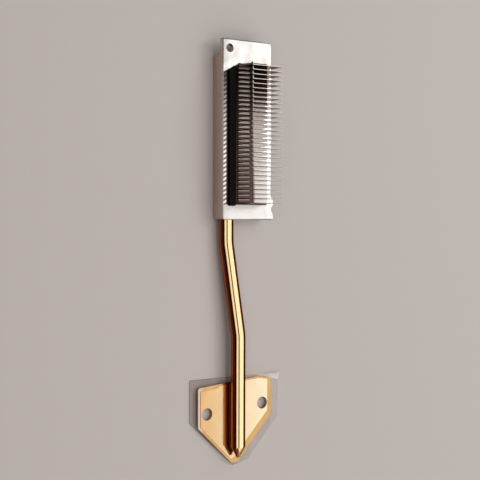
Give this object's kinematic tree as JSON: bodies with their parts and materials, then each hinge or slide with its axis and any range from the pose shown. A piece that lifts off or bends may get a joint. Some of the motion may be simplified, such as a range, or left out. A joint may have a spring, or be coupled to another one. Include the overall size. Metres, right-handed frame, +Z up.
{
  "type": "copper heatsink",
  "caption": "Small heatsink: a copper heat pipe joins a pointed copper cold plate to an aluminium block that carries a stack of thin upright fins.",
  "frame": {"origin": "middle of the whole outline, at the underside that the heatsink lies on", "axes": "+Y along the heat pipe from the cold plate towards the fin stack, +X across the block towards its side ear, +Z up through the fins"},
  "size_m": [0.0442, 0.1741, 0.0175],
  "materials": {
    "block_aluminium": "satin, machined, with polished upper face",
    "fin_aluminium": "bright rolled sheet",
    "pipe_copper": "polished copper",
    "plate_copper": "polished copper",
    "foam": "matt black foam",
    "clear_film": "clear glossy film"
  },
  "bodies": {
    "root": {"base_block": "block_aluminium", "heat_pipe": "pipe_copper", "cold_plate": "plate_copper", "foam_strip": "foam", "protective_film": "clear_film", "fin_01": "fin_aluminium", "fin_02": "fin_aluminium", "fin_03": "fin_aluminium", "fin_04": "fin_aluminium", "fin_05": "fin_aluminium", "fin_06": "fin_aluminium", "fin_07": "fin_aluminium", "fin_08": "fin_aluminium", "fin_09": "fin_aluminium", "fin_10": "fin_aluminium", "fin_11": "fin_aluminium", "fin_12": "fin_aluminium", "fin_13": "fin_aluminium", "fin_14": "fin_aluminium", "fin_15": "fin_aluminium", "fin_16": "fin_aluminium", "fin_17": "fin_aluminium", "fin_18": "fin_aluminium", "fin_19": "fin_aluminium", "fin_20": "fin_aluminium", "fin_21": "fin_aluminium", "fin_22": "fin_aluminium", "fin_23": "fin_aluminium", "fin_24": "fin_aluminium", "fin_25": "fin_aluminium", "fin_26": "fin_aluminium", "fin_27": "fin_aluminium", "fin_28": "fin_aluminium", "fin_29": "fin_aluminium", "fin_30": "fin_aluminium", "fin_31": "fin_aluminium"}
  },
  "joints": []
}
